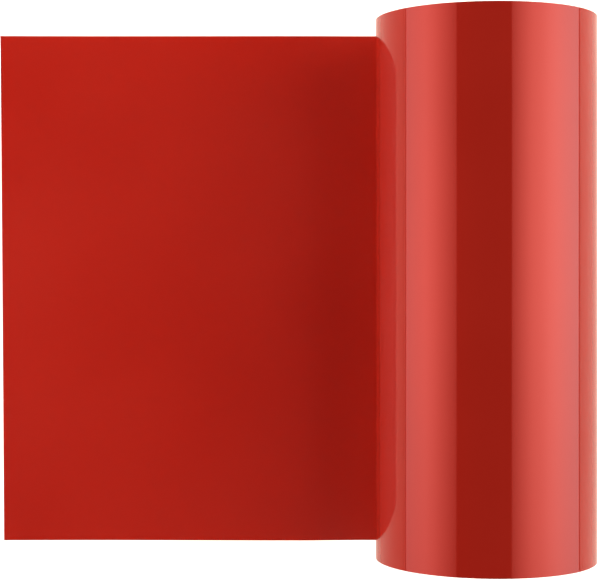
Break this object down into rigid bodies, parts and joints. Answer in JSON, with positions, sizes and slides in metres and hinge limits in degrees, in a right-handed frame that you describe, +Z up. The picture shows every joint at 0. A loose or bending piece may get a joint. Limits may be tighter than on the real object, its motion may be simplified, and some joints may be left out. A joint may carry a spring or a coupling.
{
  "type": "roll of sign vinyl",
  "caption": "Roll of glossy red self-adhesive sign film wound on a paperboard core, lying on its side with its free end run out flat and a clear release liner that peels back from the cut edge.",
  "frame": {"origin": "the point on the table under the middle of the roll, midway along it, where the web leaves the roll", "axes": "+Y along the core, +Z up, and the flat web runs out along -X"},
  "size_m": [0.3483, 0.3058, 0.1245],
  "materials": {
    "red_vinyl": "gloss",
    "wound_vinyl": "satin",
    "adhesive": "gloss",
    "clear_liner": "gloss",
    "core_board": "matte",
    "start_tape": "satin",
    "label_paper": "matte"
  },
  "bodies": {
    "take_off": {"take_off_film": "red_vinyl", "take_off_adhesive": "adhesive", "take_off_liner": "clear_liner"},
    "roll": {"core_inner_ply": "core_board", "core_body_ply_1": "core_board", "core_body_ply_2": "core_board", "core_body_ply_3": "core_board", "core_body_ply_4": "core_board", "core_body_ply_5": "core_board", "core_body_ply_6": "core_board", "core_outer_ply": "core_board", "core_tape": "start_tape", "core_label": "label_paper", "wound_web": "wound_vinyl", "outer_turn_liner": "clear_liner", "outer_turn_adhesive": "adhesive", "outer_turn_film": "red_vinyl"},
    "sheet": {"sheet_film": "red_vinyl", "sheet_adhesive": "adhesive", "sheet_liner": "clear_liner"},
    "end": {"end_film": "red_vinyl", "end_adhesive": "adhesive", "end_liner": "clear_liner"},
    "peel": {"peel_liner": "clear_liner"}
  },
  "joints": [
    {"name": "roll_turn", "type": "hinge", "parent": "take_off", "child": "roll", "pos_m": [0, 0, 0.06238], "axis": [0, 1, 0], "range_deg": [-90, 360]},
    {"name": "sheet_lift", "type": "hinge", "parent": "take_off", "child": "sheet", "pos_m": [-0.04, 0, 0], "axis": [0, 1, 0], "range_deg": [0, 45]},
    {"name": "sheet_draw", "type": "slide", "parent": "sheet", "child": "end", "axis": [-1, 0, 0], "range_m": [-0.0985, 0.391], "deforming": ["sheet_film", "sheet_adhesive", "sheet_liner"]},
    {"name": "liner_peel", "type": "hinge", "parent": "end", "child": "peel", "pos_m": [-0.251, 0, 0.00013], "axis": [0, 1, 0], "range_deg": [0, 150]}
  ],
  "couplings": [
    {"joint": "sheet_draw", "follows": "roll_turn", "m_per_rad": 0.0621}
  ]
}
